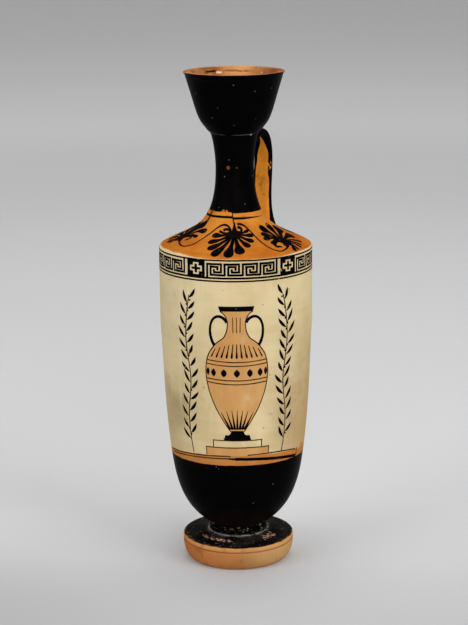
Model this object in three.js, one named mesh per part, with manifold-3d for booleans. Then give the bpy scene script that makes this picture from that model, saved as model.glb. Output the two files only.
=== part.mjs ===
// Tall cylindrical oil flask of fired clay, thrown in sections that are luted together with slip.
// Sizes are in millimetres and angles in degrees. The flask stands on z = 0 with its axis on +Z, handle towards +Y.
// A curve gives, at each of its ends, how far it keeps its heading and the heading itself.
import * as THREE from 'three';
import { mergeVertices } from 'three/addons/utils/BufferGeometryUtils.js';
import Module from 'manifold-3d';

// Turned surfaces and joints
const turns = 36; // facets round the axis
const sweepSteps = 6;
const roundSteps = 3;
const mouldingSteps = 5;
const slipFilm = 0.3; // thickness of slip between a piece that is cut to fit and its neighbour

// Foot: a disc with a convex grooved edge, hollow underneath, and a short stem
const footHeight = 18.8; // table to the seat of the fillet
const footRestRadius = 30.8; // outer edge of the ring that meets the table
const footRestWidth = 7.2;
const footHollowHeight = 7.6;
const footWidestRadius = 36.3;
const footWidestHeight = 12.1;
const footGrooveDepth = 0.8;
const footGrooveWidth = 1.5;
const footCollarRadius = 36.1; // narrow band above the groove
const footLipHeight = 16.1; // edge between the band and the top
const footLipBevel = 0.4;
const footSeatMargin = 0.8; // flat seat that shows outside the fillet
const stemRadius = 14;
const footHollowCurve = { leave: [10, 0], arrive: [6, -78] };
const footSideCurve = { leave: [4.8, 20], arrive: [1.6, 98] };
const footTopCurve = { leave: [5, 176], arrive: [5, 164] };

// Foot fillet: two half-round mouldings, the lower one wider
const footFilletHeight = 5.5;
const footFilletRadius = 18;
const footFilletBulge = 1.05;
const footFilletUpperHeight = 2.2;
const footFilletUpperBulge = 0.5;

// Body: a cylinder that narrows a little downwards and ends in a bowl
const bodyHeight = 183.7;
const bodyRadius = 49.1;
const bodyTaper = 6.1; // how much the wall draws in between the cylinder and the bowl
const bodyWall = 4.6;
const bodyBaseRadius = 17.8;
const bodyFloor = 6.5;
const bowlHeight = 47.7;
const taperHeight = 93;
const bowlCurve = { leave: [20.2, 28.3], arrive: [19.6, 83] };
const bowlInsideCurve = { leave: [31, 0], arrive: [20, 85] };
const taperCurve = { leave: [36, 83], arrive: [36, 87] };

// Shoulder: a sloping ring with a rounded outer edge
const shoulderHeight = 21.4;
const shoulderWall = 4.4;
const shoulderTopRadius = 18.2;
const shoulderRim = 0.4; // upright edge above the body
const shoulderEdgeRound = 1.75;
const shoulderEdgeTurn = 61;
const shoulderCurve = { leave: [9.6, 148.5], arrive: [11, 115.6] };

// Neck fillet: a low raised ring
const neckFilletHeight = 3.2;
const neckFilletBulge = 0.12;

// Neck: a waisted tube
const neckHeight = 47.8;
const neckBaseRadius = 16.4;
const neckWaistRadius = 12.25;
const neckWaistHeight = 24.4;
const neckTopRadius = 14.95;
const neckWall = 4.2;
const neckLowCurve = { leave: [9, 112], arrive: [7, 91] };
const neckHighCurve = { leave: [8.1, 92], arrive: [5, 73] };

// Mouth fillet: a thin raised ring
const mouthFilletHeight = 1.2;
const mouthFilletBulge = 0.2;

// Mouth: a deep cup that flares to a thin flat lip
const mouthHeight = 38.4;
const mouthBaseRadius = 15.3;
const mouthRimRadius = 32;
const mouthWall = 4.6;
const mouthLipWidth = 4.6;
const mouthLipHeight = 1.6;
const mouthLipFlare = 0.85; // how far the lip stands out from the cup
const mouthLipRound = 0.4;
const mouthCurve = { leave: [12.6, 43.9], arrive: [29, 72.8] };

// Handle: a strap pulled from under the mouth, out over an arch and down to the shoulder
const handleRootDrop = 5.8; // below the top of the neck
const handleReach = 31; // axis of the flask to the middle of the strap
const handleArchDrop = 18.5; // top of the neck to the end of the arch
const handleLandingRadius = 31.6;
const handleRootSink = 2.5; // run of strap inside each surface, cut away to fit it
const handleLandingSink = 5;
const handleWidth = 13.2;
const handleThickness = 4.9;
const handleRootSpread = 2.2; // extra width at the neck
const handleLandingSpread = 4.4; // extra width at the shoulder
const handleArchCurve = { leave: [15.8, 42], arrive: [16, -90] };
const handleDropCurve = { leave: [16, -90], arrive: [17, -62] };
const handleStations = 26;
const handleSides = 14;
const handleSquareness = { across: 0.7, through: 0.6 }; // 1 is an oval section, 0 a rectangle
const spreadFalloff = 9; // how quickly a spread end narrows to the strap

// Heights of the seats, one piece on the next
const footTop = footHeight;
const bodyBase = footTop + footFilletHeight;
const bowlTop = bodyBase + bowlHeight;
const taperTop = bowlTop + taperHeight;
const shoulderBase = bodyBase + bodyHeight;
const neckFilletBase = shoulderBase + shoulderHeight;
const neckBase = neckFilletBase + neckFilletHeight;
const neckWaist = neckBase + neckWaistHeight;
const mouthFilletBase = neckBase + neckHeight;
const mouthBase = mouthFilletBase + mouthFilletHeight;
const rimHeight = mouthBase + mouthHeight;

// Radii that neighbours share
const bowlRadius = bodyRadius - bodyTaper;
const bodyInnerRadius = bodyRadius - bodyWall;
const boreBaseRadius = neckBaseRadius - neckWall;
const boreTopRadius = neckTopRadius - neckWall;
const footFilletBore = stemRadius + slipFilm;

const wasm = await Module();
wasm.setup();

const { lerp, degToRad } = THREE.MathUtils;
const point = (radius, height) => new THREE.Vector2(radius, height);

function heading(length, degrees) {
  const angle = degToRad(degrees);
  return point(length * Math.cos(angle), length * Math.sin(angle));
}

function sweepCurve(start, end, curve) {
  const leaving = start.clone().add(heading(...curve.leave));
  const arriving = end.clone().sub(heading(...curve.arrive));
  return new THREE.CubicBezierCurve(start, leaving, arriving, end);
}

function sweep(start, end, curve) {
  return sweepCurve(start, end, curve).getPoints(sweepSteps);
}

// A half-round moulding that bulges outwards from start up to end.
function moulding(start, end, bulge) {
  const outline = [];
  for (let i = 0; i <= mouldingSteps; i++) {
    const t = i / mouldingSteps;
    const swell = bulge * Math.sqrt(1 - (2 * t - 1) ** 2);
    outline.push(start.clone().lerp(end, t).add(point(swell, 0)));
  }
  return outline;
}

// The round that turns from one heading to another about a centre.
function round(centre, radius, fromDegrees, toDegrees) {
  const outline = [];
  for (let i = 0; i <= roundSteps; i++) {
    outline.push(centre.clone().add(heading(radius, lerp(fromDegrees, toDegrees, i / roundSteps))));
  }
  return outline;
}

// An outline without points that repeat the one before.
function clean(outline) {
  return outline.filter((p, i) => i === 0 || p.distanceTo(outline[i - 1]) > 1e-6);
}

// An outline moved outwards, or inwards for a negative distance, square to its run.
function offset(outline, distance) {
  const last = outline.length - 1;
  return outline.map((p, i) => {
    const along = outline[Math.min(i + 1, last)].clone().sub(outline[Math.max(i - 1, 0)]).normalize();
    return p.clone().add(point(along.y, -along.x).multiplyScalar(distance));
  });
}

// Turns an outline, drawn outside upwards and inside downwards, about +Z.
function turned(outline) {
  return new THREE.LatheGeometry(clean(outline), turns).rotateX(Math.PI / 2);
}

// Turns an outline that closes on itself.
function ring(outline) {
  return turned([...outline, outline[0].clone()]);
}

// All the space inside an outer face, grown by the slip film.
function spaceWithin(outerFace) {
  const skin = offset(clean(outerFace), slipFilm);
  const bottom = Math.min(skin[0].y, outerFace[0].y - slipFilm);
  const top = Math.max(skin.at(-1).y, outerFace.at(-1).y + slipFilm);
  return turned([point(0, bottom), point(skin[0].x, bottom), ...skin, point(skin.at(-1).x, top), point(0, top)]);
}

function solid(geometry) {
  const bare = geometry.clone();
  bare.deleteAttribute('normal');
  bare.deleteAttribute('uv');
  const merged = mergeVertices(bare);
  const vertProperties = merged.attributes.position.array;
  const triVerts = new Uint32Array(merged.index.array);
  return new wasm.Manifold(new wasm.Mesh({ numProp: 3, vertProperties, triVerts }));
}

function geometryOf(body) {
  const { numProp, vertProperties, triVerts } = body.getMesh();
  const geometry = new THREE.BufferGeometry();
  geometry.setAttribute('position', new THREE.BufferAttribute(new Float32Array(vertProperties), numProp));
  geometry.setIndex(new THREE.BufferAttribute(new Uint32Array(triVerts), 1));
  geometry.computeVertexNormals();
  return geometry;
}

function footOutline() {
  const restInner = point(footRestRadius - footRestWidth, 0);
  const grooveTop = footWidestHeight + footGrooveWidth;
  const lip = point(footCollarRadius - footLipBevel, footLipHeight);
  const seatEdge = point(footFilletRadius + footFilletBulge + footSeatMargin, footTop);
  return [
    ...sweep(point(0, footHollowHeight), restInner, footHollowCurve),
    ...sweep(point(footRestRadius, 0), point(footWidestRadius, footWidestHeight), footSideCurve),
    point(footWidestRadius - footGrooveDepth, footWidestHeight + footGrooveWidth / 2),
    point(footCollarRadius, grooveTop),
    point(footCollarRadius, footLipHeight - footLipBevel),
    ...sweep(lip, seatEdge, footTopCurve),
    point(stemRadius, footTop),
    point(stemRadius, bodyBase),
    point(0, bodyBase),
  ];
}

function footFilletOutline() {
  const low = point(footFilletRadius, footTop);
  const middle = point(footFilletRadius, bodyBase - footFilletUpperHeight);
  const high = point(bodyBaseRadius, bodyBase);
  return [
    point(footFilletBore, footTop),
    ...moulding(low, middle, footFilletBulge),
    ...moulding(middle, high, footFilletUpperBulge),
    point(footFilletBore, bodyBase),
  ];
}

function taperWall(inset) {
  return sweep(point(bowlRadius - inset, bowlTop), point(bodyRadius - inset, taperTop), taperCurve);
}

function bodyOutline() {
  const floor = point(0, bodyBase + bodyFloor);
  return [
    point(0, bodyBase),
    ...sweep(point(bodyBaseRadius, bodyBase), point(bowlRadius, bowlTop), bowlCurve),
    ...taperWall(0),
    point(bodyRadius, shoulderBase),
    point(bodyInnerRadius, shoulderBase),
    ...taperWall(bodyWall).reverse(),
    ...sweep(floor, point(bowlRadius - bodyWall, bowlTop), bowlInsideCurve).reverse(),
  ];
}

// The outer face of the shoulder, from the edge of the body up to the neck fillet.
function shoulderFace() {
  const edgeCentre = point(bodyRadius - shoulderEdgeRound, shoulderBase + shoulderRim);
  const edge = round(edgeCentre, shoulderEdgeRound, 0, shoulderEdgeTurn);
  const slope = sweep(edge.at(-1), point(shoulderTopRadius, neckFilletBase), shoulderCurve);
  return clean([point(bodyRadius, shoulderBase), ...edge, ...slope]);
}

function shoulderOutline() {
  const face = shoulderFace();
  const fits = (p) => p.y > shoulderBase && p.x > boreBaseRadius && p.x < bodyInnerRadius;
  const underside = offset(face, -shoulderWall).filter(fits).reverse();
  return [
    ...face,
    point(boreBaseRadius, neckFilletBase),
    ...underside,
    point(bodyInnerRadius, shoulderBase),
  ];
}

function neckFilletOutline() {
  const low = point(shoulderTopRadius, neckFilletBase);
  const high = point(neckBaseRadius, neckBase);
  return [
    point(boreBaseRadius, neckFilletBase),
    ...moulding(low, high, neckFilletBulge),
    point(boreBaseRadius, neckBase),
  ];
}

function neckFace(inset) {
  const base = point(neckBaseRadius - inset, neckBase);
  const waist = point(neckWaistRadius - inset, neckWaist);
  const top = point(neckTopRadius - inset, mouthFilletBase);
  return clean([...sweep(base, waist, neckLowCurve), ...sweep(waist, top, neckHighCurve)]);
}

function neckOutline() {
  return [...neckFace(0), ...neckFace(neckWall).reverse()];
}

function mouthFilletFace() {
  return moulding(point(neckTopRadius, mouthFilletBase), point(mouthBaseRadius, mouthBase), mouthFilletBulge);
}

function mouthFilletOutline() {
  return [point(boreTopRadius, mouthFilletBase), ...mouthFilletFace(), point(boreTopRadius, mouthBase)];
}

function mouthOutline() {
  const lipLevel = rimHeight - mouthLipRound;
  const lipInner = mouthRimRadius - mouthLipWidth;
  const cupTop = point(mouthRimRadius - mouthLipFlare, rimHeight - mouthLipHeight);
  const cup = sweep(point(mouthBaseRadius, mouthBase), cupTop, mouthCurve);
  const fits = (p) => p.y > mouthBase && p.x > boreTopRadius && p.y < lipLevel && p.x < lipInner;
  const hollow = offset(cup, -mouthWall).filter(fits).reverse();
  return [
    ...cup,
    ...round(point(mouthRimRadius - mouthLipRound, lipLevel), mouthLipRound, 0, 90),
    ...round(point(lipInner + mouthLipRound, lipLevel), mouthLipRound, 90, 180),
    ...hollow,
    point(boreTopRadius, mouthBase),
  ];
}

// The height of the shoulder's outer face at a distance from the axis.
function shoulderHeightAt(radius) {
  const face = shoulderFace();
  const i = face.findIndex((p) => p.x <= radius);
  const t = (face[i - 1].x - radius) / (face[i - 1].x - face[i].x);
  return lerp(face[i - 1].y, face[i].y, t);
}

// The middle line of the strap in the plane of the handle, as distance from the axis and height.
function handleLine() {
  const root = point(neckTopRadius - handleRootSink, mouthFilletBase - handleRootDrop);
  const archEnd = point(handleReach, mouthFilletBase - handleArchDrop);
  const onShoulder = point(handleLandingRadius, shoulderHeightAt(handleLandingRadius));
  const landing = onShoulder.add(heading(handleLandingSink, handleDropCurve.arrive[1]));
  const line = new THREE.CurvePath();
  line.add(sweepCurve(root, archEnd, handleArchCurve));
  line.add(sweepCurve(archEnd, landing, handleDropCurve));
  return line;
}

// One flat oval section of the strap, square to the middle line, at a share t of its length.
function strapSection(line, t) {
  const centre = line.getPointAt(t);
  const along = line.getTangentAt(t);
  const spread = handleRootSpread * (1 - t) ** spreadFalloff + handleLandingSpread * t ** spreadFalloff;
  const halfWidth = (handleWidth + spread) / 2;
  const halfThickness = (handleThickness + spread / 3) / 2;
  const flattened = (value, power) => Math.sign(value) * Math.abs(value) ** power;
  const section = [];
  for (let k = 0; k < handleSides; k++) {
    const angle = (2 * Math.PI * k) / handleSides;
    const across = halfWidth * flattened(Math.cos(angle), handleSquareness.across);
    const through = halfThickness * flattened(Math.sin(angle), handleSquareness.through);
    section.push(across, centre.x - along.y * through, centre.y + along.x * through);
  }
  return section;
}

// The strap lofted through its sections, with a fan of faces over each end.
function strap(line) {
  const positions = [];
  const faces = [];
  for (let i = 0; i <= handleStations; i++) {
    positions.push(...strapSection(line, i / handleStations));
  }
  const endRow = handleStations * handleSides;
  const startCentre = endRow + handleSides;
  const endCentre = startCentre + 1;
  for (const t of [0, 1]) {
    const centre = line.getPointAt(t);
    positions.push(0, centre.x, centre.y);
  }
  for (let k = 0; k < handleSides; k++) {
    const next = (k + 1) % handleSides;
    for (let row = 0; row < endRow; row += handleSides) {
      const above = row + handleSides;
      faces.push(row + k, above + k, row + next);
      faces.push(row + next, above + k, above + next);
    }
    faces.push(startCentre, k, next);
    faces.push(endCentre, endRow + next, endRow + k);
  }
  const geometry = new THREE.BufferGeometry();
  geometry.setAttribute('position', new THREE.Float32BufferAttribute(positions, 3));
  geometry.setIndex(faces);
  return geometry;
}

// The strap with its ends cut to lie on the neck, the mouth fillet and the shoulder.
function handleGeometry() {
  const neighbours = [neckFace(0), mouthFilletFace(), shoulderFace()];
  let body = solid(strap(handleLine()));
  for (const face of neighbours) {
    body = body.subtract(solid(spaceWithin(face)));
  }
  return geometryOf(body);
}

const blackGloss = { color: 0x15110e, roughness: 0.32, metalness: 0 };
const orangeClay = { color: 0xc47f42, roughness: 0.7, metalness: 0 };
const whiteSlip = { color: 0xe3d8b4, roughness: 0.75, metalness: 0 };

const flask = new THREE.Group();

function place(name, geometry, finish) {
  const mesh = new THREE.Mesh(geometry, new THREE.MeshStandardMaterial(finish));
  mesh.name = name;
  flask.add(mesh);
}

place('foot', turned(footOutline()), orangeClay);
place('foot_fillet', ring(footFilletOutline()), blackGloss);
place('body', turned(bodyOutline()), whiteSlip);
place('shoulder', ring(shoulderOutline()), orangeClay);
place('neck_fillet', ring(neckFilletOutline()), orangeClay);
place('neck', ring(neckOutline()), blackGloss);
place('mouth_fillet', ring(mouthFilletOutline()), blackGloss);
place('mouth', ring(mouthOutline()), blackGloss);
place('handle', handleGeometry(), blackGloss);

export default flask;
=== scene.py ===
import math
import random

import bmesh
import bpy
from mathutils import Matrix, Vector, noise
from mathutils.bvhtree import BVHTree
from mathutils.geometry import interpolate_bezier


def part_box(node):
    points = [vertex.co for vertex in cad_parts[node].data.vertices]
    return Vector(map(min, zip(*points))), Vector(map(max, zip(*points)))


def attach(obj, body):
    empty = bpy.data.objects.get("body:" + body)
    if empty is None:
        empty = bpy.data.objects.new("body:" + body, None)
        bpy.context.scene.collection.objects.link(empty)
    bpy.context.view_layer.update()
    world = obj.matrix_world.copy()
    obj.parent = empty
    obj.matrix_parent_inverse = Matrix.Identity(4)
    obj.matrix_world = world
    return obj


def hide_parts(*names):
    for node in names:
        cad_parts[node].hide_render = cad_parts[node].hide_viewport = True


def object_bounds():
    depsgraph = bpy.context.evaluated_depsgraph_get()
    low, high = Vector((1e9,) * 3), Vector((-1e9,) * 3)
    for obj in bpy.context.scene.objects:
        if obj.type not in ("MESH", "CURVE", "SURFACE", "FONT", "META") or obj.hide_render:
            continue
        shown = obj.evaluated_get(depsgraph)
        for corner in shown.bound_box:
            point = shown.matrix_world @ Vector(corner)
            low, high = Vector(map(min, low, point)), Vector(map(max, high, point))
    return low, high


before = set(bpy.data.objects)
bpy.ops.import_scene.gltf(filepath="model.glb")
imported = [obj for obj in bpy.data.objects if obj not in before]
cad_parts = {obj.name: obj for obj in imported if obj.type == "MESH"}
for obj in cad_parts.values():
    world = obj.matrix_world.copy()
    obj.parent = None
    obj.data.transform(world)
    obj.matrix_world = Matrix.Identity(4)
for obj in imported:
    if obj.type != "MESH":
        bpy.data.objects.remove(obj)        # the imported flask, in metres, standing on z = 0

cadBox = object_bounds()
mm = 0.001  # sizes below are in millimetres unless a note says otherwise
mergeGap = 1e-6  # metres
frontTurn = math.radians(37)  # the painted front is turned this far from -Y
toFront = Matrix.Rotation(frontTurn, 4, "Z")
hand = random.Random(11)  # the painter's unsteadiness
print("frame:", len(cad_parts), "nodes")


# Camera, seen from the painted front
camera = {"lens": 106.35, "distance": 1163, "height": 432.8, "slide": -1.42, "pitch": 13.0, "roll": 0.57}


def makeCamera():
    data = bpy.data.cameras.new("camera")
    data.lens = camera["lens"]
    eye = bpy.data.objects.new("camera", data)
    bpy.context.scene.collection.objects.link(eye)
    stand = Vector((camera["slide"], -camera["distance"], camera["height"])) * mm
    tilt = Matrix.Rotation(math.pi / 2 - math.radians(camera["pitch"]), 4, "X")
    roll = Matrix.Rotation(-math.radians(camera["roll"]), 4, "Z")
    eye.matrix_world = Matrix.Translation(toFront @ stand) @ toFront @ tilt @ roll
    bpy.context.scene.camera = eye


makeCamera()
bpy.context.scene.view_settings.view_transform = "Standard"
print("camera set")


# Node trees written as expressions
def srgb(*colour):  # red, green and blue on a screen, made linear
    linear = [(c / 255 / 12.92) if c < 11 else ((c / 255 + 0.055) / 1.055) ** 2.4 for c in colour]
    return (*linear, 1.0)


class Paint:  # one value, colour or vector in a material
    def __init__(self, tree, socket=None):
        self.tree = tree
        self.socket = socket

    def node(self, kind, settings=None, inputs=None, out=0):
        made = self.tree.nodes.new("ShaderNode" + kind)
        for name, value in (settings or {}).items():
            setattr(made, name, value)
        for name, value in (inputs or {}).items():
            if isinstance(value, Paint):
                self.tree.links.new(value.socket, made.inputs[name])
            else:
                made.inputs[name].default_value = value
        return Paint(self.tree, made.outputs[out] if made.outputs else None)

    def math(self, operation, first, second=0.0):
        return self.node("Math", {"operation": operation}, {0: first, 1: second})

    def __add__(self, other):
        return self.math("ADD", self, other)

    def __sub__(self, other):
        return self.math("SUBTRACT", self, other)

    def __rsub__(self, other):
        return self.math("SUBTRACT", other, self)

    def __mul__(self, other):
        return self.math("MULTIPLY", self, other)

    def __truediv__(self, other):
        return self.math("DIVIDE", self, other)

    def __rtruediv__(self, other):
        return self.math("DIVIDE", other, self)

    def __abs__(self):
        return self.math("ABSOLUTE", self)

    __radd__ = __add__
    __rmul__ = __mul__

    def either(self, other):
        return self.math("MAXIMUM", self, other)

    def ramp(self, low, high, share=1.0):  # 0 below low, share above high
        ends = {"Value": self, "From Min": low, "From Max": high, "To Max": share}
        return self.node("MapRange", {"interpolation_type": "SMOOTHSTEP"}, ends)

    def above(self, level, soft):  # 1 above a level
        return self.ramp(level - soft, level + soft)

    def within(self, low, high, soft):  # 1 between two levels
        return self.above(low, soft) * (1 - self.above(high, soft))

    def blend(self, under, over):  # colours, self is the share of the second
        return self.node("Mix", {"data_type": "RGBA"}, {0: self, 6: under, 7: over}, 2)

    def part(self, axis):
        return self.node("SeparateXYZ", None, {0: self}, axis)

    def noise(self, scale, detail, rough=0.55):
        made = {"Vector": self, "Scale": scale, "Detail": detail, "Roughness": rough}
        return self.node("TexNoise", None, made, "Fac")

    def drawnOut(self, across, along, detail):  # noise with its own scale across and along the axis
        scale = (across, across, along)
        return self.node("Mapping", None, {"Vector": self, "Scale": scale}).noise(1.0, detail)

    def patches(self, scale, detail, low, high, share=1.0):  # noise that shows from one level up
        return self.noise(scale, detail).ramp(low, high, share)

    def near(self, spot, radius, soft=0.35):  # 1 inside a small round spot
        there = {0: self, 1: [c * mm for c in spot]}
        away = self.node("VectorMath", {"operation": "DISTANCE"}, there, "Value")
        return 1 - away.above(radius * mm, radius * soft * mm)

    def specks(self, scale, size, share):  # sparse round dots
        cells = {"Vector": self, "Scale": scale}
        distance = self.node("TexVoronoi", None, cells, "Distance")
        colour = self.node("TexVoronoi", None, cells, "Color")
        pick = self.node("SeparateColor", None, {0: colour}, 0).ramp(1 - share - 0.01, 1 - share)
        return (1 - distance.ramp(size * 0.6, size)) * pick


# The clay and its two coats, with their colours and marks
# noise has its scale per metre, its detail, the levels where it starts and is full, and its share; a zone
# has two places and its share, or two places and its soft edge; a spot has its place, radius and softness;
# a shake has its size and the scale of its noise
clay = {
    # the pale clay is painted light, used only towards the neck on the shoulder
    "deep": srgb(170, 91, 27), "light": srgb(198, 121, 39), "pale": srgb(220, 148, 58),
    # the two brightest clays are painted light, used to lift the shaded inside of the handle
    "paintedLight": srgb(246, 156, 50), "lowPaintedLight": srgb(255, 176, 70), "stain": srgb(112, 62, 26),
    "buff": srgb(182, 126, 69),  # left without a wash
    "turning": (12, 420, 3), "streaks": (0.52, 0.8, 0.4), "grain": (800, 2), "flecks": (0.6, 0.74, 0.3),
    "tone": (42, 3, 0.32, 0.68), "rough": (0.48, 0.2), "relief": (0.6, 0.35),
}
cream = {
    "deep": srgb(196, 174, 130), "light": srgb(214, 195, 152), "pale": srgb(228, 212, 172),
    "warm": srgb(180, 150, 104), "stain": srgb(168, 142, 98), "soil": srgb(142, 116, 76),
    "smudge": srgb(70, 54, 38),
    "turning": (9, 300, 4), "grain": (650, 2), "cloud": (30, 5), "cloudShare": 0.8, "tone": (0.3, 0.66),
    "stains": (17, 5, 0.5, 0.72, 0.28), "smudges": (90, 4, 0.62, 0.8, 0.2),
    "specks": (240, 0.15, 0.05), "speckShare": 0.7, "rough": (0.62, 0.25), "relief": (0.5, 0.3),
}
gloss = {
    # dust also paints the highlight on the ring under the mouth
    "deep": srgb(4, 4, 5), "thin": srgb(34, 20, 12), "dust": srgb(150, 142, 130),
    "turning": (10, 380, 3), "streaks": (0.6, 0.85, 0.25), "grain": (240, 2), "cloud": (24, 4),
    "thinned": (0.5, 0.78, 0.4), "specks": [(170, 0.09, 0.2), (300, 0.13, 0.14)], "speckShare": 0.4,
    "rough": (0.28, 0.16), "relief": (0.5, 0.25),
}
surface = {
    "coatStep": 0.5,  # how far a coat stands above what it covers, as a share of the relief
    "height": 0.16, "bump": 0.5,
    "sheen": 0.006,  # low, as the slip is burnished and not glassy
}


def coatOf(look, colour, turning, grain, dull):
    smooth, duller = look["rough"]
    ridged, grained = look["relief"]
    return {"colour": colour, "rough": smooth + dull * duller, "relief": turning * ridged + grain * grained}


def clayCoat(p):
    turning = p.drawnOut(*clay["turning"])
    grain = p.noise(*clay["grain"])
    colour = p.patches(*clay["tone"]).blend(clay["deep"], clay["light"])
    colour = turning.ramp(*clay["streaks"]).blend(colour, clay["stain"])
    colour = grain.ramp(*clay["flecks"]).blend(colour, clay["stain"])
    return coatOf(clay, colour, turning, grain, grain)


def creamCoat(p):
    turning = p.drawnOut(*cream["turning"])
    grain = p.noise(*cream["grain"])
    share = cream["cloudShare"]
    cloud = p.noise(*cream["cloud"]) * share + turning * (1 - share)
    colour = cloud.ramp(*cream["tone"]).blend(cream["deep"], cream["light"])
    colour = p.patches(*cream["stains"]).blend(colour, cream["stain"])
    colour = p.patches(*cream["smudges"]).blend(colour, cream["smudge"])
    colour = (p.specks(*cream["specks"]) * cream["speckShare"]).blend(colour, cream["smudge"])
    return coatOf(cream, colour, turning, grain, grain)


def glossCoat(p):
    turning = p.drawnOut(*gloss["turning"])
    cloud = p.noise(*gloss["cloud"])
    thin = cloud.ramp(*gloss["thinned"]) + turning.ramp(*gloss["streaks"])
    colour = thin.blend(gloss["deep"], gloss["thin"])
    fine, coarse = (p.specks(*dots) for dots in gloss["specks"])
    colour = (fine.either(coarse) * gloss["speckShare"]).blend(colour, gloss["dust"])
    return coatOf(gloss, colour, turning, p.noise(*gloss["grain"]), cloud)


def laid(mask, under, over):  # one coat over another
    return {
        "colour": mask.blend(under["colour"], over["colour"]),
        "rough": under["rough"] + (over["rough"] - under["rough"]) * mask,
        "relief": under["relief"] + (over["relief"] - under["relief"] + surface["coatStep"]) * mask,
    }


def tint(coat, share, colour):
    coat["colour"] = share.blend(coat["colour"], colour)


def emptyFinish(name):  # a material with only its coordinates, turned to the front
    material = bpy.data.materials.new(name)
    material.use_nodes = True
    material.node_tree.nodes.clear()
    start = Paint(material.node_tree)
    flat = start.node("TexCoord", out="Object")
    return material, start.node("Mapping", None, {"Vector": flat, "Rotation": (0, 0, -frontTurn)})


def makeFinish(name, build):
    material, p = emptyFinish(name)
    coat = build(p)
    raised = {"Strength": surface["bump"], "Distance": surface["height"] * mm, "Height": coat["relief"]}
    skin = {"Base Color": coat["colour"], "Roughness": coat["rough"], "Normal": p.node("Bump", None, raised)}
    shader = p.node("BsdfPrincipled", None, {**skin, "Specular IOR Level": surface["sheen"]})
    p.node("OutputMaterial", None, {"Surface": shader})
    return material


def height(p):  # millimetres above the table
    return p.part(2) / mm


def radiusOf(p):  # millimetres from the axis
    flat = p.node("VectorMath", {"operation": "MULTIPLY"}, {0: p, 1: (1, 1, 0)})
    return p.node("VectorMath", {"operation": "LENGTH"}, {0: flat}, "Value") / mm


def azimuth(p):  # degrees round from the front, positive to the right
    return p.math("ARCTAN2", p.part(0), p.part(1) * -1) * math.degrees(1)


def edgeShake(p, size, scale=150):  # an uneven brushed edge, in millimetres
    return (p.noise(scale, detail=3) - 0.5) * (2 * size)


# The body: black below, a bare line, then cream slip
slipWear = {
    "patchy": (36, 5, 0.3, 0.62), "soft": 0.85,
    "pale": [((-43, -23, 180), 34, 0.5), ((10, 46, 120), 30, 0.4)],  # place, radius and share of each
    "soil": [((-37.7, -27.2, 108), 20, 0.5), ((42, -19, 112), 26, 0.7), ((-30, 36, 140), 24, 0.36),
             ((26, 39, 95), 22, 0.4)],
    "brushed": (130, 12, 3), "brushedLevels": (0.56, 0.74, 0.3),
    "ticks": (110, 520, 3), "tickLevels": (0.66, 0.73, 0.5), "tickZones": (28, 3, 0.5, 0.62),
    "smudges": (150, 5, 0.68, 0.78, 0.45), "smudgeZones": (20, 3, 0.46, 0.6),
}
bodyBands = {
    "front": 44,  # this far before the axis the edges of both coats have risen fully
    "glossTop": 73.2, "glossRise": 1.3, "glossSoft": 0.2, "glossShake": (0.45, 220),
    "flakes": (190, 4, 0.74, 0.78, 0.7), "brown": (24, 44, 0.5), "brownShake": (9, 60),
    "creamFoot": 76.3, "creamRise": 5.2, "creamSoft": 0.3, "creamShake": 0.5,
    "buff": (50, 3, 0.2, 0.6, 0.8), "warmSide": (16, 43, 0.85), "warmRise": (88, 150),
    "worn": [((40.6, -14.8, 79.0), 3.0), ((42.0, -11.3, 78.2), 2.2)], "wornShare": 0.8,
}


def wornSlip(p):
    slip = creamCoat(p)
    patchy = p.patches(*slipWear["patchy"])
    for tone in ("pale", "soil"):
        for spot, radius, share in slipWear[tone]:
            tint(slip, p.near(spot, radius, slipWear["soft"]) * patchy * share, cream[tone])
    tint(slip, p.drawnOut(*slipWear["brushed"]).ramp(*slipWear["brushedLevels"]), cream["pale"])
    ticks = p.drawnOut(*slipWear["ticks"]).ramp(*slipWear["tickLevels"]) * p.patches(*slipWear["tickZones"])
    tint(slip, ticks, cream["soil"])
    tint(slip, p.patches(*slipWear["smudges"]) * p.patches(*slipWear["smudgeZones"]), cream["smudge"])
    return slip


def bodyFinish(p):
    z = height(p)
    facing = (p.part(1) / (-bodyBands["front"] * mm)).either(0.0)  # 0 at the sides and behind
    bare = clayCoat(p)
    tint(bare, p.patches(*bodyBands["buff"]), clay["buff"])
    slip = wornSlip(p)
    warm = (p.part(0) / mm).ramp(*bodyBands["warmSide"]) * (1 - z.ramp(*bodyBands["warmRise"]))
    tint(slip, warm, cream["warm"])
    first, second = (p.near(*spot) for spot in bodyBands["worn"])
    foot = z - facing * bodyBands["creamRise"] + edgeShake(p, bodyBands["creamShake"])
    slipped = foot.above(bodyBands["creamFoot"], bodyBands["creamSoft"])
    coat = laid(slipped * (1 - first.either(second) * bodyBands["wornShare"]), bare, slip)
    black = glossCoat(p)
    start, end, share = bodyBands["brown"]
    tint(black, (1 - (z + edgeShake(p, *bodyBands["brownShake"])).ramp(start, end)) * share, gloss["thin"])
    top = z - facing * bodyBands["glossRise"] + edgeShake(p, *bodyBands["glossShake"])
    blackened = 1 - top.above(bodyBands["glossTop"], bodyBands["glossSoft"])
    return laid(blackened * (1 - p.patches(*bodyBands["flakes"])), coat, black)


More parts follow.
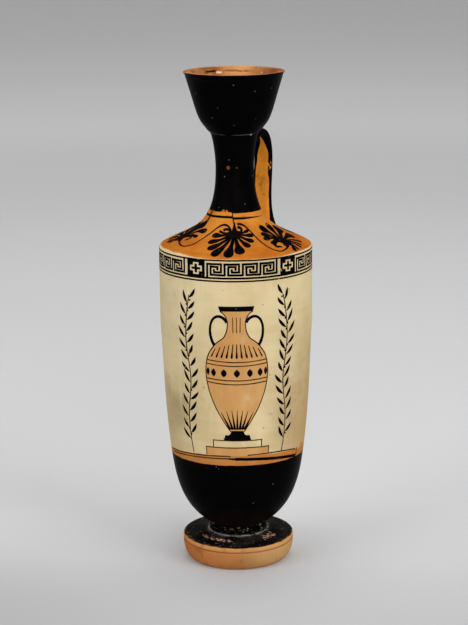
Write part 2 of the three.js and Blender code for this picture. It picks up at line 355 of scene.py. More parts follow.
# The shoulder: clay between the cream rim, a thin line and the black of the neck
shoulderBands = {
    "creamTop": 208.9, "creamSoft": 0.25, "creamShake": 0.45,
    "leftLift": (16, 37, 1.2), "rightLift": (20, 46, 0.8),
    # the paler patches towards the neck are painted light, the darker left side painted shade
    "pale": (60, 4, 0.25, 0.6, 0.6), "paintedLightRise": (213, 227), "paintedShadeSide": (4, 40, 0.35),
    "line": 229.8, "lineStep": (-6, -3, 0.6), "lineFade": (5, 85), "lineStart": (-178, -165, 0.7),
    "lineSoft": 0.12, "lineShake": (0.3, 90), "lineLeast": (0.02, 0.15),
    "glossFoot": 232.3, "glossSoft": 0.2, "glossShake": (1.1, 110), "dip": (-65, -12, 8), "dipDepth": 0.7,
    "bare": ((-6.7, -14.8, 233.1), 1.7, 0.6), "bareMarks": (420, 3, 0.42, 0.52, 2),
}
cracks = {
    "wander": (0.9, 160), "core": 0.4, "edge": 1.3, "end": 0.4, "dark": 0.95,
    # degrees, foot, top, lean and half width
    "lines": [(-61, 224.0, 234, 0.0, 1.2), (-4, 223.5, 233, 0.16, 0.5)],
}


def crackAlong(p, degrees, low, high, lean, half):  # a mended break that runs up the wall
    across = p.part(0) / mm
    away = p.part(1) / mm
    turn = math.radians(degrees)
    aside = across * math.cos(turn) + away * math.sin(turn) + edgeShake(p, *cracks["wander"])
    aside = aside + (height(p) - (low + high) / 2) * lean
    facing = (across * math.sin(turn) - away * math.cos(turn)).ramp(0.0, 1.0)
    line = 1 - abs(aside).ramp(half * cracks["core"], half * cracks["edge"])
    return line * height(p).within(low, high, cracks["end"]) * facing


def neckEdge(p):  # the ragged foot of the black on the neck
    bare = p.near(*shoulderBands["bare"]) * p.patches(*shoulderBands["bareMarks"])
    dip = azimuth(p).within(*shoulderBands["dip"]) * shoulderBands["dipDepth"]
    level = height(p) + edgeShake(p, *shoulderBands["glossShake"]) - bare - dip
    return level.above(shoulderBands["glossFoot"], shoulderBands["glossSoft"])


def shoulderFinish(p):
    z = height(p)
    aside = p.part(0) / mm
    around = azimuth(p)
    bare = clayCoat(p)
    # painted light: paler clay in patches towards the neck; painted shade: darker clay towards the left
    tint(bare, z.ramp(*shoulderBands["paintedLightRise"]) * p.patches(*shoulderBands["pale"]), clay["pale"])
    tint(bare, (aside * -1).ramp(*shoulderBands["paintedShadeSide"]), clay["deep"])
    lift = (aside * -1).ramp(*shoulderBands["leftLift"]) + aside.ramp(*shoulderBands["rightLift"])
    rim = z - lift + edgeShake(p, shoulderBands["creamShake"])
    slipped = 1 - rim.above(shoulderBands["creamTop"], shoulderBands["creamSoft"])
    coat = laid(slipped, bare, creamCoat(p))
    middle = shoulderBands["line"] - around.ramp(*shoulderBands["lineStep"])
    half = (1 - around.ramp(*shoulderBands["lineFade"])) * around.ramp(*shoulderBands["lineStart"])
    away = abs(z + edgeShake(p, *shoulderBands["lineShake"]) - middle)
    line = (1 - away.above(half, shoulderBands["lineSoft"])) * half.ramp(*shoulderBands["lineLeast"])
    coat = laid(line.either(neckEdge(p)), coat, glossCoat(p))
    wide, narrow = (crackAlong(p, *one) for one in cracks["lines"])
    tint(coat, wide.either(narrow) * cracks["dark"], gloss["thin"])
    return coat


# The neck, the mouth and the ring between them
neckChips = {
    "large": ((-4.2, -11.6, 260.4), 1.05), "core": ((-4.2, -11.6, 260.4), 0.45), "coreShare": 0.7,
    "small": ((1.2, -12.2, 260.4), 0.6), "smallShare": 0.35, "share": 0.85, "clay": srgb(150, 76, 36),
}
lipClay = {
    # the dark tone is painted shade for the ends of the lip, and the bright one a painted highlight on the
    # inner wall behind
    "dark": srgb(118, 64, 34), "deep": srgb(142, 84, 46), "light": srgb(196, 134, 78),
    "paintedLight": srgb(228, 162, 100), "chip": srgb(226, 196, 160),
}
mouthMarks = {
    "lip": (319.65, 319.9), "lipShake": (0.12, 180), "edge": (31.9, 32.2), "edgeShake": (0.3, 220),
    "frontEdge": (6.4, 28.8, 1.3), "behind": (0, 10),
    "cupFoot": 282, "cupFlare": 0.32, "cup": (17.0, 18.0), "cupShake": 0.3,
    "wash": (307, 312), "washShake": (2.5, 70),
    # the darkening at both ends of the lip is painted shade, and the bright band behind is a painted
    # highlight
    "tone": (60, 4, 0.35, 0.65), "paintedShadeRight": (8, 30, 0.6), "paintedShadeLeft": (14, 30, 0.35),
    "paintedLight": (-6, 14, 7), "paintedLightShare": 0.5,
    "drip": (-18, -11.5, 1), "smear": (-6, 12, 2), "smearMarks": (130, 3, 0.4, 0.55, 0.6),
    "dripLevel": (316.9, 318.1, 0.3), "dripShake": 0.8,
    "chip": (-11, -7.6, 0.3), "chipShake": (1.2, 260), "nicks": (140, 3, 0.62, 0.68, 0.7),
    "chipLevel": (316.2, 317.5, 0.3), "levelShake": (0.9, 260),
}
ringWear = {
    "ridge": (281.1, 281.6, 0.15), "marks": (120, 4, 0.35, 0.6, 0.2),
    "paintedLight": ((10.3, -11.3, 281.3), 0.8), "paintedLightShare": 0.8,
}


def neckFinish(p):
    coat = laid(neckEdge(p), clayCoat(p), glossCoat(p))
    large = p.near(*neckChips["large"]) * (1 - p.near(*neckChips["core"]) * neckChips["coreShare"])
    small = p.near(*neckChips["small"]) * neckChips["smallShare"]
    chips = large.either(small) * neckChips["share"]
    tint(coat, chips, neckChips["clay"])
    coat["relief"] = coat["relief"] - chips
    return coat


def mouthFinish(p):
    z = height(p)
    radius = radiusOf(p)
    across = p.part(0) / mm
    back = p.part(1) / mm
    behind = back.ramp(*mouthMarks["behind"])
    lip = (z + edgeShake(p, *mouthMarks["lipShake"])).ramp(*mouthMarks["lip"])
    over = radius + (back * -1).ramp(*mouthMarks["frontEdge"]) + edgeShake(p, *mouthMarks["edgeShake"])
    lip = lip * (1 - over.ramp(*mouthMarks["edge"]))
    cone = radius - (z - mouthMarks["cupFoot"]) * mouthMarks["cupFlare"]
    inner = 1 - (cone + edgeShake(p, mouthMarks["cupShake"])).ramp(*mouthMarks["cup"])
    washed = inner * (z + edgeShake(p, *mouthMarks["washShake"])).ramp(*mouthMarks["wash"])
    bare = clayCoat(p)
    bare["colour"] = p.patches(*mouthMarks["tone"]).blend(lipClay["deep"], lipClay["light"])
    # painted shade: the lip darkens towards its left and right ends
    sides = across.ramp(*mouthMarks["paintedShadeRight"]) + (across * -1).ramp(*mouthMarks["paintedShadeLeft"])
    tint(bare, sides, lipClay["dark"])
    # painted highlight on the inner wall behind the opening
    tint(bare, across.within(*mouthMarks["paintedLight"]) * behind * mouthMarks["paintedLightShare"], lipClay["paintedLight"])
    drip = across.within(*mouthMarks["drip"])
    drip = drip + across.within(*mouthMarks["smear"]) * p.patches(*mouthMarks["smearMarks"])
    drip = drip * (z + edgeShake(p, mouthMarks["dripShake"])).within(*mouthMarks["dripLevel"])
    tint(bare, drip * behind * inner, gloss["thin"])
    chip = (across + edgeShake(p, *mouthMarks["chipShake"])).within(*mouthMarks["chip"])
    chip = chip.either(p.patches(*mouthMarks["nicks"]))
    chip = chip * (z + edgeShake(p, *mouthMarks["levelShake"])).within(*mouthMarks["chipLevel"])
    tint(bare, chip * behind * inner, lipClay["chip"])
    return laid(1 - lip.either(washed), bare, glossCoat(p))


def mouthFilletFinish(p):
    coat = glossCoat(p)
    # painted highlight: a broken pale line along the ridge and a pale spot, in the colour of dust
    ridge = height(p).within(*ringWear["ridge"]) * p.patches(*ringWear["marks"])
    paintedLight = p.near(*ringWear["paintedLight"]) * ringWear["paintedLightShare"]
    tint(coat, ridge.either(paintedLight), gloss["dust"])
    return coat


# The foot: bare clay round the side, flaked black on top
footClay = {
    "deep": srgb(176, 106, 55), "light": srgb(186, 146, 95), "collar": srgb(208, 148, 88),
    # the scuff colour also paints shade into the groove
    "scuffAndShade": srgb(128, 76, 36),
}
flake = {
    "red": srgb(150, 84, 56), "pink": srgb(208, 152, 120), "ochre": srgb(132, 98, 52),
    # grey also paints the highlights round the ring on the foot
    "grey": srgb(172, 170, 164),
}
footMarks = {
    "top": (15.8, 16.2), "topShake": (0.35, 200),
    # the side grows lighter towards the right as painted light
    "paintedLightRight": (-29, 29, 0.7), "cloud": (40, 4, 0.3, 0.7, 0.3), "collar": (13.0, 13.4, 0.6),
    "scuffs": (130, 5, 0.54, 0.72, 0.6), "groove": (12.4, 13.1, 0.3), "grooveShare": 0.7,
    "brown": ((2, -29, 5), 13, 0.8), "brownMarks": (90, 4, 0.3, 0.6, 0.4),
    "haze": (110, 5, 0.35, 0.7, 0.05), "dusty": (18.6, 21.2, 1.4), "dust": (240, 5, 0.36, 0.66, 0.3),
    "leftRing": (24.2, 27.6, 0.8), "leftArc": (-64, -6, 6),
    "rightRing": (22.5, 28, 1.0), "rightArc": (36, 66, 6),
    "flakes": (560, 4, 0.65), "flakeLevels": (0.66, 0.7), "moreFlakes": 0.17,
    "pink": (330, 3, 0.42, 0.58), "grey": (700, 2, 0.54, 0.6, 0.6),
    # the pale line where the foot meets the ring is a painted highlight, broken by patchy wear
    "ring": (19.2, 20.0, 0.3), "ringMarks": (230, 5, 0.34, 0.6),
    "nicks": (420, 0.2, 0.3), "nickLevel": (15.9, 16.9, 0.3), "nickShare": 0.8,
}
filletMarks = {
    "chips": (480, 4, 0.65), "chipLevels": (0.57, 0.63, 0.65), "ochre": (260, 3, 0.42, 0.58),
    # the pale line at the ring's lower edge is a painted highlight, broken by patchy wear
    "ring": (18.7, 19.2, 0.2), "ringMarks": (230, 5, 0.34, 0.6),
}


def footSide(p, z):
    side = clayCoat(p)
    # painted light: lighter towards the right, mixed with patchy tone
    tone = (p.part(0) / mm).ramp(*footMarks["paintedLightRight"]) + p.patches(*footMarks["cloud"])
    side["colour"] = tone.blend(footClay["deep"], footClay["light"])
    tint(side, z.ramp(*footMarks["collar"]), footClay["collar"])
    tint(side, p.patches(*footMarks["scuffs"]), footClay["scuffAndShade"])
    tint(side, p.near(*footMarks["brown"]) * p.patches(*footMarks["brownMarks"]), footClay["scuffAndShade"])
    # painted shade: the groove is darkened
    tint(side, z.within(*footMarks["groove"]) * footMarks["grooveShare"], footClay["scuffAndShade"])
    return side


def footTop(p, z):
    radius = radiusOf(p)
    around = azimuth(p)
    black = glossCoat(p)
    haze = p.patches(*footMarks["haze"]) + radius.within(*footMarks["dusty"]) * p.patches(*footMarks["dust"])
    tint(black, haze, gloss["dust"])
    left = radius.within(*footMarks["leftRing"]) * around.within(*footMarks["leftArc"])
    right = radius.within(*footMarks["rightRing"]) * around.within(*footMarks["rightArc"])
    flaked = p.noise(*footMarks["flakes"]) + left.either(right) * footMarks["moreFlakes"]
    tone = p.patches(*footMarks["pink"]).blend(flake["red"], flake["pink"])
    tone = p.patches(*footMarks["grey"]).blend(tone, flake["grey"])
    tint(black, flaked.ramp(*footMarks["flakeLevels"]), tone)
    # painted highlight: a broken pale line where the foot meets the ring, with pale nicks at the lip
    ring = radius.within(*footMarks["ring"]) * p.patches(*footMarks["ringMarks"])
    nicks = p.specks(*footMarks["nicks"]) * z.within(*footMarks["nickLevel"]) * footMarks["nickShare"]
    tint(black, ring.either(nicks), flake["grey"])
    return black


def footFinish(p):
    z = height(p)
    top = (z + edgeShake(p, *footMarks["topShake"])).ramp(*footMarks["top"])
    return laid(top, footSide(p, z), footTop(p, z))


def footFilletFinish(p):
    coat = glossCoat(p)
    chips = p.noise(*filletMarks["chips"]).ramp(*filletMarks["chipLevels"])
    tint(coat, chips, p.patches(*filletMarks["ochre"]).blend(flake["ochre"], gloss["dust"]))
    # painted highlight: a broken pale line along the lower edge
    ring = height(p).within(*filletMarks["ring"]) * p.patches(*filletMarks["ringMarks"])
    tint(coat, ring, flake["grey"])
    return coat


# Smooth outlines of the turned pieces
curve = {"corner": 50, "flat": 0.6, "straightRun": 2.5}  # degrees, degrees, times the shorter chord


def turnAt(points, i):
    before = points[i] - points[i - 1]
    after = points[(i + 1) % len(points)] - points[i]
    return before.angle(after, 0.0)


def smoothLine(points, spacing, closed=False, even=False):
    points = [Vector(q) for q in points]
    count = len(points)
    ends = set() if closed else {0, count - 1}
    sharp = {i for i in range(count) if i in ends or turnAt(points, i) > math.radians(curve["corner"])}

    def heading(i):  # along a long straight run, else between the chords and nearer the shorter
        before = points[i] - points[i - 1]
        after = points[(i + 1) % count] - points[i]
        short, long = sorted((before, after), key=lambda chord: chord.length)
        if long.length > curve["straightRun"] * short.length:
            return long.normalized()
        return (before.normalized() * after.length + after.normalized() * before.length).normalized()

    line = []
    for i in range(count if closed else count - 1):
        j = (i + 1) % count
        chord = points[j] - points[i]
        straight = chord.normalized()
        leave = straight if i in sharp else heading(i)
        arrive = straight if j in sharp else heading(j)
        if i in sharp and j not in sharp:
            leave = 2 * straight - arrive
        if j in sharp and i not in sharp:
            arrive = 2 * straight - leave
        most = max(leave.angle(straight, 0.0), arrive.angle(straight, 0.0))
        bent = most > math.radians(curve["flat"])
        steps = max(1, math.ceil(chord.length / spacing)) if even or bent else 1
        reach = chord.length / 3
        bend = (points[i] + leave * reach, points[j] - arrive * reach)
        line += interpolate_bezier(points[i], *bend, points[j], steps + 1)[:-1]
    return line if closed else line + [points[-1]]


def outlineOf(node):  # the column of corners that a turned CAD node has at x = 0, y < 0
    half = bmesh.new()
    half.from_mesh(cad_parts[node].data)
    bmesh.ops.remove_doubles(half, verts=half.verts, dist=mergeGap)
    away = [v for v in half.verts if abs(v.co.x) > mergeGap or v.co.y > mergeGap]
    bmesh.ops.delete(half, geom=away, context="VERTS")
    ends = [v for v in half.verts if len(v.link_edges) == 1]
    half.verts.ensure_lookup_table()
    vert = start = ends[0] if ends else half.verts[0]
    points, edge = [], None
    while vert is not None:
        points.append((-vert.co.y, vert.co.z))
        onward = [e for e in vert.link_edges if e is not edge]
        edge = onward[0] if onward else None
        vert = edge.other_vert(vert) if edge else None
        if vert is start:
            vert = None
    half.free()
    return points, not ends


sharpest = math.radians(38)  # edges that turn more than this are shaded as corners


def shadeSmooth(shape):
    for face in shape.faces:
        face.smooth = True
    for edge in shape.edges:
        edge.smooth = len(edge.link_faces) == 2 and edge.calc_face_angle(0.0) < sharpest


def asObject(shape, name, material):
    data = bpy.data.meshes.new(name)
    shape.to_mesh(data)
    shape.free()
    data.materials.append(material)
    made = bpy.data.objects.new(name, data)
    bpy.context.scene.collection.objects.link(made)
    return made


def keep(shape, name, material, slot, *nodes):
    piece = asObject(shape, name, material)
    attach(piece, "root")
    if nodes:
        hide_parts(*nodes)
    return piece


lathe = {"steps": 192, "spacing": 1.5}
widest = cadBox[1].x - 0.1 * mm  # leaves room for the paint inside the CAD box


def turnShape(line, closed, steps):  # radius and height of each point, in metres
    shape = bmesh.new()
    verts = [shape.verts.new((0, -radius, level)) for radius, level in line]
    edges = [shape.edges.new(pair) for pair in zip(verts, verts[1:])]
    if closed:
        edges.append(shape.edges.new((verts[-1], verts[0])))
    full = {"cent": (0, 0, 0), "axis": (0, 0, 1), "angle": 2 * math.pi, "steps": steps}
    bmesh.ops.spin(shape, geom=verts + edges, use_merge=True, **full)
    bmesh.ops.remove_doubles(shape, verts=shape.verts, dist=mergeGap)
    bmesh.ops.recalc_face_normals(shape, faces=shape.faces)
    shadeSmooth(shape)
    return shape


def turnPiece(node, name, material, slot):
    points, closed = outlineOf(node)
    line = smoothLine(points, lathe["spacing"] * mm, closed)
    shape = turnShape([(min(q.x, widest), q.y) for q in line], closed, lathe["steps"])
    return keep(shape, name, material, slot, node)


turned = [
    ("foot", "flaskFoot", footFinish, "orange_clay"),
    ("foot_fillet", "flaskFootFillet", footFilletFinish, "black_gloss"),
    ("body", "flaskBody", bodyFinish, "white_slip"),
    ("shoulder", "flaskShoulder", shoulderFinish, "orange_clay"),
    ("neck_fillet", "flaskNeckFillet", shoulderFinish, "orange_clay"),
    ("neck", "flaskNeck", neckFinish, "black_gloss"),
    ("mouth_fillet", "flaskMouthFillet", mouthFilletFinish, "black_gloss"),
    ("mouth", "flaskMouth", mouthFinish, "black_gloss"),
]
pieces = {}
for node, name, build, slot in turned:
    pieces[node] = turnPiece(node, name, makeFinish(name + "Finish", build), slot)
print("turned pieces:", len(pieces))


# The strap handle, from under the mouth over an arch and down to the shoulder
strap = {
    "root": (12.5, 274.6), "archEnd": (31.0, 261.9), "landing": (33.9, 213.6),
    "rootLeave": (15.8, 42), "archArrive": (16, -90), "archLeave": (16, -90), "landingArrive": (17, -62),
    "width": 13.2, "thickness": 4.9, "rootSpread": 2.6, "landingSpread": 4.8, "falloff": 9,
    "stations": 90, "sides": 36, "across": 0.7, "through": 0.6,
}
# the strip of bare clay on its inside narrows to a point at the top
strapBare = {
    "right": 6.5, "rightIn": [(246, 254, 1.4), (264, 279, 3.6)], "rightShake": (0.5, 120),
    "left": 4.3, "leftIn": [(252, 262, 1.3), (262, 277, 4.5)], "leftShake": (0.4, 120), "soft": 0.2,
    "outside": (-0.52, -0.42), "outsideShake": (0.14, 120),
    "worn": [((22.4, 19.8, 258.2), 1.3, 0.6), ((22.2, 19.8, 255.8), 1.2, 0.6)],
    # painted light: patches of brighter clay, and more towards the lower end, lift the shaded inside
    "wornMarks": (520, 3, 0.46, 0.54), "paintedLight": (50, 4, 0.25, 0.6, 0.85),
    "lowPaintedLight": (226, 252), "lowPaintedLightShare": 0.6, "stains": (150, 4, 0.56, 0.74, 0.5),
}


def handleFinish(p):
    side = p.node("Attribute", {"attribute_name": "strapSide"}, None, "Fac")
    z = height(p)
    across = p.node("Mapping", None, {"Vector": p, "Rotation": (0, 0, frontTurn)}).part(0) / mm
    first, second = (z.ramp(*step) for step in strapBare["rightIn"])
    right = across - (strapBare["right"] - first - second) + edgeShake(p, *strapBare["rightShake"])
    first, second = (z.ramp(*step) for step in strapBare["leftIn"])
    left = first + second - strapBare["left"] - across + edgeShake(p, *strapBare["leftShake"])
    edges = right.above(0, strapBare["soft"]).either(left.above(0, strapBare["soft"]))
    outside = (side + edgeShake(p, *strapBare["outsideShake"])).ramp(*strapBare["outside"])
    upper, lower = (p.near(*spot) for spot in strapBare["worn"])
    worn = upper.either(lower) * p.patches(*strapBare["wornMarks"])
    bare = clayCoat(p)
    # painted light: the shaded inside is lightened in patches and towards its lower end
    tint(bare, p.patches(*strapBare["paintedLight"]), clay["paintedLight"])
    tint(bare, (1 - z.ramp(*strapBare["lowPaintedLight"])) * strapBare["lowPaintedLightShare"], clay["lowPaintedLight"])
    tint(bare, p.patches(*strapBare["stains"]), clay["stain"])
    return laid(outside.either(edges) * (1 - worn), bare, glossCoat(p))


def aimed(length, degrees):
    return Vector((math.cos(math.radians(degrees)), math.sin(math.radians(degrees)))) * length


def strapLine():
    root, arch, landing = (Vector(strap[k]) for k in ("root", "archEnd", "landing"))
    half = strap["stations"] // 2 + 1
    bend = (root + aimed(*strap["rootLeave"]), arch - aimed(*strap["archArrive"]))
    up = interpolate_bezier(root, *bend, arch, half)
    bend = (arch + aimed(*strap["archLeave"]), landing - aimed(*strap["landingArrive"]))
    return up[:-1] + interpolate_bezier(arch, *bend, landing, half)


def rounded(value, power):  # a power that keeps the sign
    return math.copysign(abs(value) ** power, value)


def makeHandle():
    line = strapLine()
    last = len(line) - 1
    shape = bmesh.new()
    side = shape.verts.layers.float.new("strapSide")
    grid = bmesh.ops.create_grid(shape, x_segments=last, y_segments=strap["sides"], size=0.5)
    for v in grid["verts"]:
        share = v.co.x + 0.5
        i = round(share * last)
        along = (line[min(i + 1, last)] - line[max(i - 1, 0)]).normalized()
        angle = 2 * math.pi * (v.co.y + 0.5)
        spread = strap["rootSpread"] * (1 - share) ** strap["falloff"]
        spread += strap["landingSpread"] * share ** strap["falloff"]
        across = rounded(math.cos(angle), strap["across"]) * (strap["width"] + spread) / 2
        through = rounded(math.sin(angle), strap["through"]) * (strap["thickness"] + spread / 3) / 2
        v.co = Vector((across, line[i].x - along.y * through, line[i].y + along.x * through)) * mm
        v[side] = math.sin(angle)
    bmesh.ops.remove_doubles(shape, verts=shape.verts, dist=mergeGap)
    bmesh.ops.holes_fill(shape, edges=[e for e in shape.edges if e.is_boundary], sides=0)
    bmesh.ops.recalc_face_normals(shape, faces=shape.faces)
    shadeSmooth(shape)
    return keep(shape, "flaskHandle", makeFinish("handleFinish", handleFinish), "black_gloss", "handle")


pieces["handle"] = makeHandle()
print("handle made")


# Brush work: strips drawn flat in millimetres, given thickness and laid on the wall
brush = {
    "step": 1.0, "wobble": 0.09, "wobbleLength": 3.0, "depth": 0.16, "mitre": 0.6, "least": 0.2, "lens": 0.8,
    "thin": (150, 4, 0.5, 0.72, 0.55), "worn": (330, 4, 0.68, 0.74, 0.8), "dull": 0.14,
}
castFrom = 0.4  # metres
shoulderReach = 48.4  # paint keeps inside the shoulder's rounded edge
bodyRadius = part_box("body")[1].x / mm


def squareTo(direction):
    return Vector((-direction.y, direction.x))


def stroke(sheet, path, width, across=1, step=brush["step"]):
    line = smoothLine(path, step, even=True)
    last = len(line) - 1
    rows = []
    for i, q in enumerate(line):
        before = (q - line[i - 1]) if i else (line[1] - q)
        after = (line[i + 1] - q) if i < last else before
        mean = (before.normalized() + after.normalized()).normalized()
        normal = squareTo(mean)
        mitre = 1 / max(brush["mitre"], mean.dot(after.normalized()))
        shake = noise.noise(Vector((q.x, q.y, 0)) / brush["wobbleLength"]) * brush["wobble"]
        breadth = width(i / last) if callable(width) else width
        rows.append((q + normal * shake, normal * breadth * mitre))
    grid = bmesh.ops.create_grid(sheet, x_segments=last, y_segments=across, size=0.5)
    for v in grid["verts"]:
        middle, wide = rows[round((v.co.x + 0.5) * last)]
        spot = middle + wide * v.co.y
        v.co = (spot.x, spot.y, 0)


def wallUnder():  # body, shoulder and neck fillet as one surface to lay paint on
    joined = bmesh.new()
    for node in ("body", "shoulder", "neck_fillet"):
        joined.from_mesh(pieces[node].data)
    tree = BVHTree.FromBMesh(joined)
    joined.free()
    return tree


wall = wallUnder()


def fromSide(x, y):  # x runs round the body from the front, y is the height
    turn = x / bodyRadius + frontTurn
    out = Vector((math.sin(turn), -math.cos(turn), 0))
    return out * castFrom + Vector((0, 0, y * mm)), -out


def fromAbove(x, y):  # plan of the shoulder, the front towards -y
    spot = toFront @ Vector((x, y, 0))
    spot *= mm * min(1.0, shoulderReach / spot.length)
    return spot + Vector((0, 0, castFrom)), Vector((0, 0, -1))


def lay(sheet, cast, proud=0.07):
    bmesh.ops.solidify(sheet, geom=sheet.faces[:], thickness=brush["depth"])
    bmesh.ops.recalc_face_normals(sheet, faces=sheet.faces)
    for v in sheet.verts:
        origin, direction = cast(v.co.x, v.co.y)
        hit, normal, _, _ = wall.ray_cast(origin, direction)
        v.co = hit + normal * ((v.co.z + proud) * mm)
    shadeSmooth(sheet)


def brushedFinish(under):  # black that shows a little of what it covers
    def build(p):
        black = glossCoat(p)
        tint(black, p.patches(*brush["thin"]), gloss["thin"])
        tint(black, p.patches(*brush["worn"]), under)
        black["rough"] = black["rough"] + brush["dull"]
        return black
    return build


# The key pattern round the top of the body
keyBand = {
    "top": 205.9, "row": 1.7, "line": 1.42, "shake": 0.11,
    "unit": 11.22, "columns": 5, "units": 4, "groups": 5,
    "outer": [(0, 0), (4, 0), (4, 3), (2, 3), (2, 1.8)],  # columns and rows of a unit
    "inner": [(3, 2.3), (3, 1), (1, 1), (1, 4), (5.2, 4)],
    "closing": [(5, 4.2), (5, -1.2)], "firstFoot": 5.0, "foot": 4.25,
    "firstCross": -26.1, "crossWidth": 12.6, "crossTop": 208.1, "crossFoot": 197.1, "toKeys": 7.9,
    "crossEdges": [0, 0.16, 0.25, 0.34, 0.43, 0.57, 0.66, 0.75, 0.84, 1],
    "crossShake": 0.165, "crossWave": 7, "wavesApart": (0, 50),
    "rings": [(208.2, 1.0), (197.05, 1.25), (195.1, 1.0)], "ringPoints": 72, "ringStart": -0.62,
}


def drawKey(sheet, left, opens, closes):
    pitch = keyBand["unit"] / keyBand["columns"]

    def at(column, row):
        jitter = Vector((hand.uniform(-1, 1), hand.uniform(-1, 1))) * keyBand["shake"]
        return Vector((left + column * pitch, keyBand["top"] - row * keyBand["row"])) + jitter

    foot = keyBand["firstFoot"] if opens else keyBand["foot"]
    paths = [[(0, foot)] + keyBand["outer"], keyBand["inner"]]
    if closes:
        paths.append(keyBand["closing"])
    for path in paths:
        stroke(sheet, [at(*cell) for cell in path], keyBand["line"])


def drawCross(sheet, centre):
    cells = len(keyBand["crossEdges"]) - 1
    tall = keyBand["crossTop"] - keyBand["crossFoot"]
    grid = bmesh.ops.create_grid(sheet, x_segments=cells, y_segments=cells, size=0.5)
    bare = []
    for face in {f for v in grid["verts"] for f in v.link_faces}:
        spot = face.calc_center_median()
        near, far = sorted(abs(math.floor((c + 0.5) * cells) - cells // 2) for c in (spot.x, spot.y))
        arms = near <= 1 and far <= 3  # cells from the middle
        heart = near == 0 and far <= 2
        if arms and not heart:
            bare.append(face)
    for v in grid["verts"]:
        waves = [Vector((v.co.x, v.co.y, centre + apart)) for apart in keyBand["wavesApart"]]
        shakeX, shakeY = (noise.noise(w * keyBand["crossWave"]) * keyBand["crossShake"] for w in waves)
        across, up = (keyBand["crossEdges"][round((c + 0.5) * cells)] for c in (v.co.x, v.co.y))
        x = centre + (across - 0.5) * keyBand["crossWidth"] + shakeX
        y = keyBand["crossFoot"] + up * tall + shakeY
        v.co = (x, y, 0)
    bmesh.ops.delete(sheet, geom=bare, context="FACES")


def ringPath(level):
    around = 2 * math.pi * bodyRadius
    shares = [i / keyBand["ringPoints"] + keyBand["ringStart"] for i in range(keyBand["ringPoints"] + 1)]
    return [(around * share, level) for share in shares]


def makeKeyBand():
    sheet = bmesh.new()
    period = 2 * math.pi * bodyRadius / keyBand["groups"]
    for group in range(keyBand["groups"]):
        centre = keyBand["firstCross"] + group * period
        drawCross(sheet, centre)
        for unit in range(keyBand["units"]):
            left = centre + keyBand["toKeys"] + unit * keyBand["unit"]
            drawKey(sheet, left, unit == 0, unit == keyBand["units"] - 1)
    for level, width in keyBand["rings"]:
        stroke(sheet, ringPath(level), width)
    lay(sheet, fromSide)
    keep(sheet, "keyBand", makeFinish("keyPaint", brushedFinish(cream["deep"])), "black_gloss")


makeKeyBand()
print("key pattern drawn")


# Palmettes and tendrils on the shoulder, in plan
# degrees from the palmette's axis, length and breadth of each frond
hanging = [
    (-106, 9.8, 1.7), (-95, 13.8, 4.8), (-73, 17.5, 5.0), (-54, 21.2, 5.7), (-36, 24.4, 6.2),
    (-12, 23.3, 6.9), (11, 20.6, 7.4), (37, 16.0, 4.8), (62, 13.8, 4.4), (87, 11.6, 3.7), (107, 8.9, 2.3),
]
rightward = [
    (-142, 10.2, 3.2), (-118, 10.3, 2.4), (-93, 11.7, 2.4), (-74, 13.1, 2.6), (-56, 17.0, 3.0),
    (-30, 19.4, 7.0), (0, 20.4, 8.2), (28, 17.0, 6.2), (60, 16.2, 6.0), (83, 13.9, 4.4), (103, 12.9, 4.0),
    (124, 10.6, 2.2),
]
leftward = [
    (-119, 13.2, 2.8), (-103, 17.0, 4.2), (-75, 16.4, 5.6), (-56, 15.2, 3.4), (-36, 16.4, 6.0),
    (-10, 17.5, 6.8), (16, 18.0, 6.8), (42, 16.0, 6.0), (70, 11.6, 4.4), (94, 8.4, 3.0),
]
# a heart's half width, edge and middle, and its curls: breadth at start and end, points across and behind
frontHeart = {
    "mass": (4.2, 0.8, 1.5), "hook": (1.4, 1.9),
    "curls": [
        [(4.0, 0.2), (4.5, 1.5), (3.8, 2.6), (2.7, 2.9), (2.1, 2.3)],
        [(-2.4, 0.6), (-3.4, 1.8), (-5.0, 2.4), (-7.0, 1.9)],
    ],
}
rightHeart = {
    "mass": (5.4, 1.2, 4.4), "hook": (3.6, 1.6),
    "curls": [[(4.0, 0.6), (6.2, 3.6), (6.6, 6.6), (5.6, 8.1), (3.9, 7.4), (2.2, 7.2)]],
}
leftHeart = {
    "mass": (4.4, 1.0, 3.0), "hook": (1.8, 1.6),
    "curls": [[(-4.0, 1.0), (-7.4, 2.8), (-6.8, 4.8), (-5.2, 5.4), (-3.6, 4.6)]],
}
palmettes = [
    {"heart": (-0.6, -25.1), "axis": 0, "size": 1, "blades": hanging, **frontHeart},
    {"heart": (30.0, -23.0), "axis": 190, "size": 1, "blades": rightward, **rightHeart},
    {"heart": (-34.2, -12.0), "axis": 168, "size": 1, "blades": leftward, **leftHeart},
    {"heart": (24.1, 9.7), "axis": 112, "size": 0.6, "blades": hanging, **frontHeart},
    {"heart": (-19.7, 15.4), "axis": -128, "size": 0.7, "blades": hanging, **frontHeart},
    {"heart": (-1.3, 38.5), "axis": 2, "size": 0.72, "blades": rightward, **leftHeart},
]
tendrils = [
    [(-2.8, -23.8), (-4.6, -21.0), (-7.2, -19.7), (-10.4, -19.6), (-14.8, -21.5), (-21.4, -25.1),
     (-27.2, -27.8), (-32.4, -26.2), (-35.0, -21.2), (-35.4, -15.5), (-34.6, -11.5)],
    [(1.1, -20.6), (3.6, -20.4), (6.4, -21.1), (9.3, -23.4), (12.2, -26.6), (17.2, -32.3),
     (22.2, -35.8), (27.6, -36.0), (30.7, -32.6), (32.4, -28.2), (31.4, -24.0)],
]
fronds = {
    "start": 1.2, "root": 1.25, "round": 0.6, "longestRound": 0.45, "neck": 0.5, "club": 0.84, "even": 0.5,
    "bend": 0.0018, "step": 0.5, "spike": (5.6, 3.8), "spikeTip": 0.25,
    "tendril": 1.05, "tendrilEnd": 0.85, "tendrilThick": 3.4,
}


